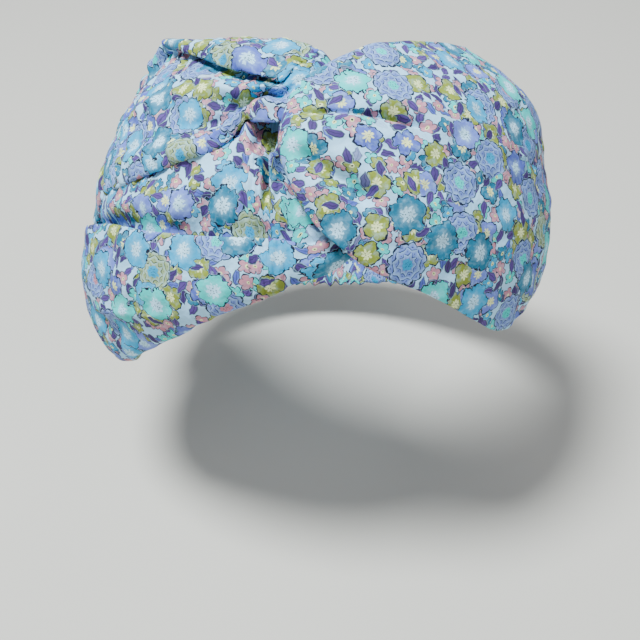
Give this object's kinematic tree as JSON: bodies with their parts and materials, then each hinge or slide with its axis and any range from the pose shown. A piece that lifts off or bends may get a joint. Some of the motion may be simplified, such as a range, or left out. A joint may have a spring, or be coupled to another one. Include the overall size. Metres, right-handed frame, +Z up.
{
  "type": "knotted fabric headband",
  "caption": "Wide fabric headband with a looped knot over the forehead and a ruched elastic casing behind the neck.",
  "frame": {"origin": "middle of the head opening, on the ring's own middle plane", "axes": "as worn on an upright head: +Z up, -Y the way the wearer faces, +X towards the wearer's left ear; the ring leans back 40 degrees about X, so the knot is high in front and the casing is at the nape"},
  "size_m": [0.1817, 0.1836, 0.1663],
  "materials": {
    "left_cloth": "matt printed cotton lawn",
    "right_cloth": "matt printed cotton lawn",
    "casing_cloth": "matt printed cotton lawn, ruched",
    "woven_elastic": "ribbed woven elastic",
    "sewing_thread": "fine polyester thread"
  },
  "bodies": {
    "front_wrap": {"left_band": "left_cloth", "right_band": "right_cloth", "left_band_closing_seam": "sewing_thread", "right_band_closing_seam": "sewing_thread"},
    "back_panel": {"back_casing": "casing_cloth", "casing_closing_seam": "sewing_thread", "back_elastic": "woven_elastic", "left_join_topstitch": "sewing_thread", "right_join_topstitch": "sewing_thread", "left_elastic_bartack": "sewing_thread", "right_elastic_bartack": "sewing_thread"}
  },
  "joints": [
    {"name": "elastic_stretch", "type": "slide", "parent": "front_wrap", "child": "back_panel", "axis": [0, 0.766, -0.6428], "range_m": [0, 0.025], "stiffness_N_per_m": 150}
  ]
}
